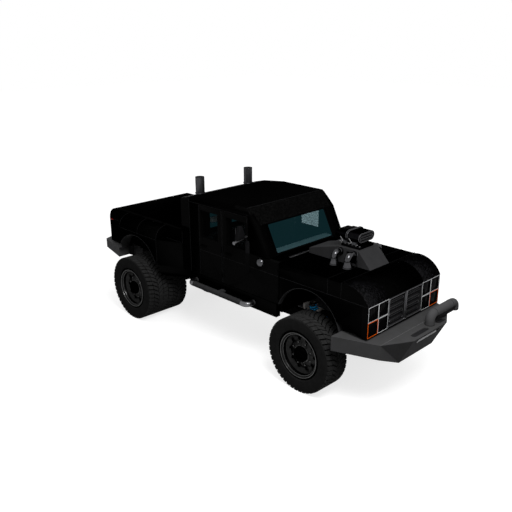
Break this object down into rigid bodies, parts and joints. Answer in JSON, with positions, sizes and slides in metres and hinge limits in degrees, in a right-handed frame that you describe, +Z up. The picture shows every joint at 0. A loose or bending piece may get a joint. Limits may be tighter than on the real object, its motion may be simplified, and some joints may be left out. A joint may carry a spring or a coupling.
{
  "type": "lifted four-door off-road pickup truck",
  "caption": "Lifted four-door off-road pickup truck with an open bed, twin rear wheels, angular steel bumpers, exhaust stacks behind the cab and an intake through the hood.",
  "frame": {"origin": "centre of the truck's box in plan, on the ground", "axes": "+X towards the front bumper, +Y towards the truck's left side, +Z up"},
  "size_m": [7.9, 2.91, 3.0587],
  "materials": {
    "frame_black": "satin black chassis paint",
    "axle_iron": "painted cast iron",
    "spring_paint": "blue enamel",
    "spring_steel": "dark spring steel",
    "drive_metal": "cast, satin",
    "engine_metal": "painted, satin",
    "blower_metal": "dark anodised",
    "pipe_chrome": "polished",
    "body_paint": "gloss black",
    "nose_paint": "satin dark grey",
    "grille_paint": "satin dark grey",
    "bezel_white": "gloss",
    "bezel_orange": "gloss",
    "lamp_lens": "smoked gloss",
    "bumper_paint": "satin mid grey",
    "window_glass": "dark teal tint",
    "dash_plastic": "matte",
    "seat_leather": "satin",
    "stack_metal": "dark satin",
    "tank_paint": "gloss black",
    "step_paint": "satin dark grey",
    "trim_paint": "satin grey",
    "bar_lens": "gloss white",
    "tail_lens": "gloss red",
    "wheel_leather": "satin",
    "mirror_chrome": "polished",
    "tyre_rubber": "matte",
    "rim_paint": "satin dark grey"
  },
  "bodies": {
    "truck": {"arch_trims": "trim_paint", "bed_box": "body_paint", "blower": "blower_metal", "bull_bar": "bumper_paint", "cab_glass": "window_glass", "cab_shell": "body_paint", "dashboard": "dash_plastic", "drive_line": "drive_metal", "engine_block": "engine_metal", "exhaust_stacks": "stack_metal", "frame_rails": "frame_black", "front_axle": "axle_iron", "front_bumper": "bumper_paint", "front_fenders": "body_paint", "front_springs": "spring_paint", "grille": "grille_paint", "header_pipes": "pipe_chrome", "hood": "body_paint", "hood_scoop": "body_paint", "lamp_bezels": "bezel_white", "lamp_glass": "lamp_lens", "leaf_springs": "spring_steel", "light_bar": "bar_lens", "nose_panel": "nose_paint", "rear_axle": "axle_iron", "rear_bumper": "bumper_paint", "rear_fenders": "body_paint", "roof": "body_paint", "seats": "seat_leather", "side_tanks": "tank_paint", "stack_shroud": "body_paint", "step_bars": "step_paint", "tail_lamps": "tail_lens", "turn_lamp_bezels": "bezel_orange"},
    "door_front_left": {"door_front_left": "body_paint", "glass_front_left": "window_glass", "mirror_left": "mirror_chrome"},
    "door_front_right": {"door_front_right": "body_paint", "glass_front_right": "window_glass", "mirror_right": "mirror_chrome"},
    "door_rear_left": {"door_rear_left": "body_paint", "glass_rear_left": "window_glass"},
    "door_rear_right": {"door_rear_right": "body_paint", "glass_rear_right": "window_glass"},
    "tailgate": {"tailgate": "body_paint"},
    "steering_wheel": {"steering_wheel": "wheel_leather"},
    "tie_rod": {"tie_rod": "spring_steel"},
    "knuckle_left": {"knuckle_left": "axle_iron"},
    "knuckle_right": {"knuckle_right": "axle_iron"},
    "wheel_front_left": {"tyre_front_left": "tyre_rubber", "rim_front_left": "rim_paint"},
    "wheel_front_right": {"tyre_front_right": "tyre_rubber", "rim_front_right": "rim_paint"},
    "wheels_rear_left": {"tyres_rear_left": "tyre_rubber", "rims_rear_left": "rim_paint"},
    "wheels_rear_right": {"tyres_rear_right": "tyre_rubber", "rims_rear_right": "rim_paint"}
  },
  "joints": [
    {"name": "door_front_left_hinge", "type": "hinge", "parent": "truck", "child": "door_front_left", "pos_m": [1.659, 1.012, 1.7], "axis": [0, 0, -1], "range_deg": [0, 65]},
    {"name": "door_rear_left_hinge", "type": "hinge", "parent": "truck", "child": "door_rear_left", "pos_m": [0.254, 1.012, 1.7], "axis": [0, 0, -1], "range_deg": [0, 65]},
    {"name": "door_front_right_hinge", "type": "hinge", "parent": "truck", "child": "door_front_right", "pos_m": [1.659, -1.012, 1.7], "axis": [0, 0, 1], "range_deg": [0, 65]},
    {"name": "door_rear_right_hinge", "type": "hinge", "parent": "truck", "child": "door_rear_right", "pos_m": [0.254, -1.012, 1.7], "axis": [0, 0, 1], "range_deg": [0, 65]},
    {"name": "tailgate_hinge", "type": "hinge", "parent": "truck", "child": "tailgate", "pos_m": [-3.432, 0, 1.33], "axis": [0, -1, 0], "range_deg": [0, 90]},
    {"name": "steer_left", "type": "hinge", "parent": "truck", "child": "knuckle_left", "pos_m": [2.28, 0.8, 0.651], "axis": [0, 0, 1], "range_deg": [-20, 20]},
    {"name": "steer_right", "type": "hinge", "parent": "truck", "child": "knuckle_right", "pos_m": [2.28, -0.8, 0.651], "axis": [0, 0, 1], "range_deg": [-20, 20]},
    {"name": "tie_rod_pivot", "type": "hinge", "parent": "knuckle_left", "child": "tie_rod", "pos_m": [2.04, 0.8, 0.561], "axis": [0, 0, 1], "range_deg": [-20, 20]},
    {"name": "steering_wheel_turn", "type": "hinge", "parent": "truck", "child": "steering_wheel", "pos_m": [1.244, 0.44, 1.78], "axis": [-0.9063, 0, 0.4226], "range_deg": [-280, 280]},
    {"name": "wheel_front_left_spin", "type": "hinge", "parent": "knuckle_left", "child": "wheel_front_left", "pos_m": [2.28, 0.967, 0.651], "axis": [0, 1, 0], "continuous": true},
    {"name": "wheels_rear_left_spin", "type": "hinge", "parent": "truck", "child": "wheels_rear_left", "pos_m": [-2.095, 0.985, 0.651], "axis": [0, 1, 0], "continuous": true},
    {"name": "wheel_front_right_spin", "type": "hinge", "parent": "knuckle_right", "child": "wheel_front_right", "pos_m": [2.28, -0.967, 0.651], "axis": [0, 1, 0], "continuous": true},
    {"name": "wheels_rear_right_spin", "type": "hinge", "parent": "truck", "child": "wheels_rear_right", "pos_m": [-2.095, -0.985, 0.651], "axis": [0, 1, 0], "continuous": true}
  ],
  "couplings": [
    {"joint": "steer_right", "follows": "steer_left", "ratio": 1},
    {"joint": "tie_rod_pivot", "follows": "steer_left", "ratio": -1},
    {"joint": "steering_wheel_turn", "follows": "steer_left", "ratio": 14}
  ]
}
